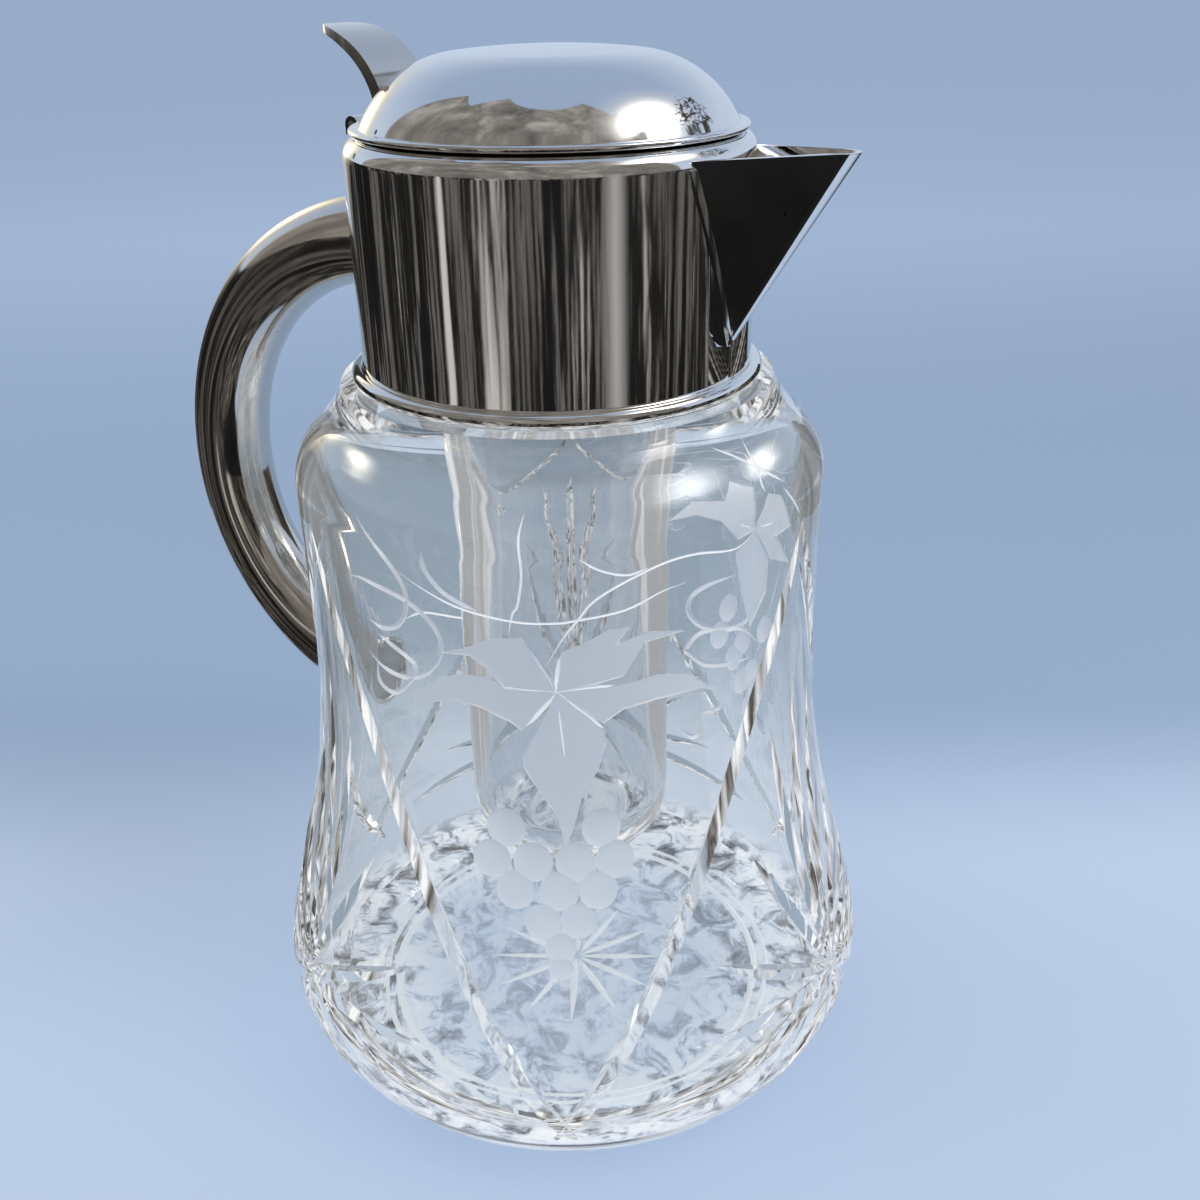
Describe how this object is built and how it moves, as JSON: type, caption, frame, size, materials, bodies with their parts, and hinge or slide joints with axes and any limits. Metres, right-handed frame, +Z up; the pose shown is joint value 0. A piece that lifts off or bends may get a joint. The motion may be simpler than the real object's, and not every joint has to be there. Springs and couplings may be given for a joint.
{
  "type": "lidded glass jug",
  "caption": "Waisted cut-glass jug with a silver-plated collar, V-shaped lip, hinged dome lid with thumb-piece, bent tube handle and a lift-out glass ice tube inside.",
  "frame": {"origin": "where the axis of the glass body meets the surface that the jug stands on", "axes": "+Z up along the body's axis, +X towards the pouring lip, -X towards the handle and hinge"},
  "size_m": [0.2106, 0.164, 0.2645],
  "materials": {
    "cut_glass": "clear lead glass with polished mitre cuts and matt engraving",
    "clear_glass": "clear blown glass, fire polished",
    "silver_plate": "polished silver plate with fine wear and small dark spots",
    "dull_silver": "unpolished plated metal inside the mount",
    "plaster": "dry white plaster"
  },
  "bodies": {
    "jug": {"glass_body": "cut_glass", "plaster_bed": "plaster", "collar_band": "silver_plate", "collar_foot_ring": "silver_plate", "collar_rim": "silver_plate", "ice_tube_seat": "dull_silver", "spout": "silver_plate", "handle": "silver_plate", "handle_end_plate": "dull_silver", "hinge_bearer": "silver_plate", "hinge_collar_knuckles": "silver_plate", "hinge_pin": "dull_silver"},
    "lid": {"lid_dome": "silver_plate", "lid_rim": "silver_plate", "lid_plug_ring": "dull_silver", "thumb_piece": "silver_plate", "hinge_lid_strap": "silver_plate", "hinge_lid_knuckle": "silver_plate"},
    "ice_holder": {"ice_tube": "clear_glass", "ice_tube_ring": "silver_plate"}
  },
  "joints": [
    {"name": "lid_hinge", "type": "hinge", "parent": "jug", "child": "lid", "pos_m": [-0.048, 0, 0.2435], "axis": [0, -1, 0], "range_deg": [0, 103]},
    {"name": "ice_tube_lift", "type": "slide", "parent": "jug", "child": "ice_holder", "axis": [0, 0, 1], "range_m": [0, 0.013]}
  ]
}
